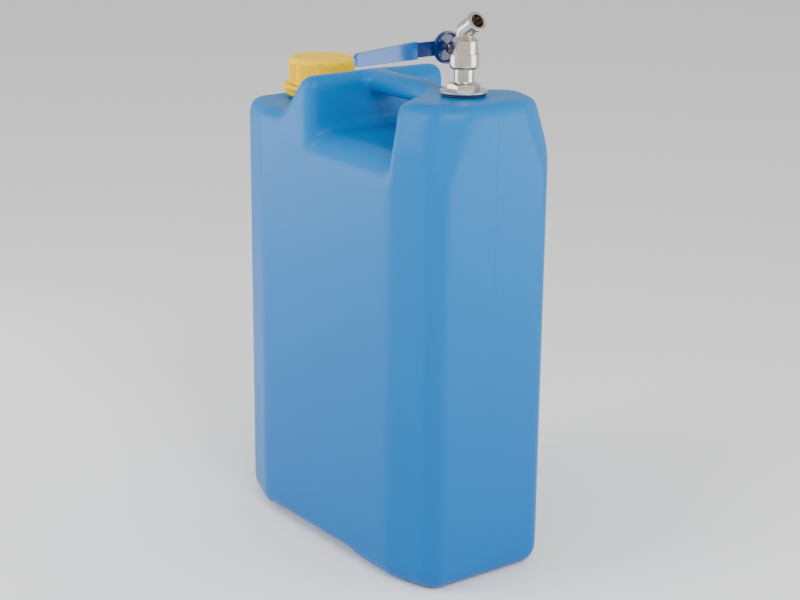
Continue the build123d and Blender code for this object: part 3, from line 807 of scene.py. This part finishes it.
# %% Finishes of hidden pieces
hidden_finishes = {
    "cap_seal": white_liner,
    "inner_gasket": black_rubber,
    "inner_lock_nut": turned_nickel,
    "end_cap_seal": black_rubber,
    "seat_lower": white_seat,
    "seat_upper": white_seat,
    "stem_thrust_ring": white_seat,
    "stem_packing": white_seat,
}
for node, finish in hidden_finishes.items():
    mesh = nodes[node].data
    if mesh.materials:
        nodes[node].material_slots[0].material = finish
    else:
        mesh.materials.append(finish)
print("hidden pieces finished:", len(hidden_finishes))

# %% [markdown]
# ## The neck
# The neck is turned as one profile: a flare on the deck, the bead that holds the ring, the
# plain wall and the rim.

# %% Neck
bead_z = deck_z + 9 * MM
bead_radius = 33 * MM
neck_outline = [
    (neck_bore_radius, deck_z - 1.4 * MM),
    (neck_outer_radius + 4 * MM, deck_z - 1.4 * MM),
    (neck_outer_radius + 4 * MM, deck_z),
    (neck_outer_radius + 1.2 * MM, deck_z + 1.2 * MM),
    (neck_outer_radius, deck_z + 4 * MM),
    (neck_outer_radius, bead_z),
    (bead_radius, bead_z),
    (bead_radius, bead_z + 1.2 * MM),
    (bead_radius - 1 * MM, bead_z + 3 * MM),
    (neck_outer_radius, bead_z + 3 * MM),
    (neck_outer_radius, neck_top - 0.6 * MM),
    (neck_outer_radius - 0.6 * MM, neck_top),
    (neck_bore_radius, neck_top),
]
neck_mesh = as_mesh("neck", turned(rounded(neck_outline, 0.5 * MM, 3)), 40)
add_piece("threaded_neck", neck_mesh, "can", canister_plastic)

# %% [markdown]
# The thread is a small profile swept along a spiral with Geometry Nodes, because a sweep
# keeps its shape whatever the pitch.

# %% Thread
def thread_tree(material):
    """A spiral with a small profile swept along it, ended so that it exports as mesh."""
    tree = bpy.data.node_groups.new("thread", "GeometryNodeTree")
    for name, kind in (("Radius", "NodeSocketFloat"), ("Pitch", "NodeSocketFloat"),
                       ("Turns", "NodeSocketFloat"), ("Profile", "NodeSocketFloat")):
        tree.interface.new_socket(name, in_out="INPUT", socket_type=kind)
    tree.interface.new_socket("Geometry", in_out="OUTPUT", socket_type="NodeSocketGeometry")
    make, link = tree.nodes.new, tree.links.new
    inputs = make("NodeGroupInput")
    outputs = make("NodeGroupOutput")
    height = make("ShaderNodeMath")
    height.operation = "MULTIPLY"
    link(inputs.outputs["Pitch"], height.inputs[0])
    link(inputs.outputs["Turns"], height.inputs[1])
    spiral = make("GeometryNodeCurveSpiral")
    spiral.inputs["Resolution"].default_value = 96
    link(inputs.outputs["Turns"], spiral.inputs["Rotations"])
    link(inputs.outputs["Radius"], spiral.inputs["Start Radius"])
    link(inputs.outputs["Radius"], spiral.inputs["End Radius"])
    link(height.outputs[0], spiral.inputs["Height"])
    profile = make("GeometryNodeCurvePrimitiveCircle")
    profile.inputs["Resolution"].default_value = 8
    link(inputs.outputs["Profile"], profile.inputs["Radius"])
    sweep = make("GeometryNodeCurveToMesh")
    sweep.inputs["Fill Caps"].default_value = True
    link(spiral.outputs["Curve"], sweep.inputs["Curve"])
    link(profile.outputs["Curve"], sweep.inputs["Profile Curve"])
    realize = make("GeometryNodeRealizeInstances")
    link(sweep.outputs["Mesh"], realize.inputs["Geometry"])
    paint = make("GeometryNodeSetMaterial")
    paint.inputs["Material"].default_value = material
    link(realize.outputs["Geometry"], paint.inputs["Geometry"])
    link(paint.outputs["Geometry"], outputs.inputs["Geometry"])
    return tree


thread_start = neck_top - 18.5 * MM
thread_mesh = grown(thread_tree(canister_plastic), {
    "Radius": 29.6 * MM, "Pitch": 6 * MM, "Turns": 2.3, "Profile": 0.85 * MM,
})
thread_mesh.transform(Matrix.Translation((neck_x, 0, thread_start)))
add_piece("neck_thread", thread_mesh, "can", canister_plastic)

# %% [markdown]
# ## Floor and light
# A pale floor and a pale room give the soft reflections of a product picture: one broad
# light from above and in front, a weaker one from the side, and the room itself. Two low
# lit cards stand out of view where the front and the side mirror them, so that the upper
# parts of both walls shine and the lower parts keep their deep colour.

# %% Stage
floor_mesh = bpy.data.meshes.new("floor")
reach = 12.0
floor_mesh.from_pydata(
    [(-reach, -reach, 0), (reach, -reach, 0), (reach, reach, 0), (-reach, reach, 0)], [], [(0, 1, 2, 3)]
)
floor = bpy.data.objects.new("floor", floor_mesh)
bpy.context.scene.collection.objects.link(floor)
floor_finish = Finish("pale_floor", (0.95, 0.95, 0.95), 0.8)
floor_mesh.materials.append(floor_finish.material)

world = bpy.data.worlds.new("room")
bpy.context.scene.world = world
world.use_nodes = True
background = world.node_tree.nodes["Background"]
background.inputs["Color"].default_value = (1, 1, 1, 1)
background.inputs["Strength"].default_value = 0.80


def add_light(name, place, target, size, power):
    """A soft lit rectangle at a place, turned towards its target."""
    data = bpy.data.lights.new(name, "AREA")
    data.shape = "RECTANGLE"
    data.size, data.size_y = size
    data.energy = power
    lamp = bpy.data.objects.new(name, data)
    lamp.location = place
    lamp.rotation_euler = (Vector(target) - Vector(place)).to_track_quat("-Z", "Y").to_euler()
    bpy.context.scene.collection.objects.link(lamp)


add_light("front_light", (2.2, -0.6, 2.0), (0.1, 0, 0.35), (1.6, 1.2), 52)
add_light("side_light", (-0.8, -2.4, 1.6), (0, 0, 0.3), (1.4, 1.4), 38)
add_light("right_card", (0.95, 0.66, 0.34), (0.17, 0, 0.36), (0.8, 0.5), 6)
add_light("left_card", (-0.85, -0.80, 0.34), (0.0, -0.08, 0.36), (0.9, 0.5), 6)
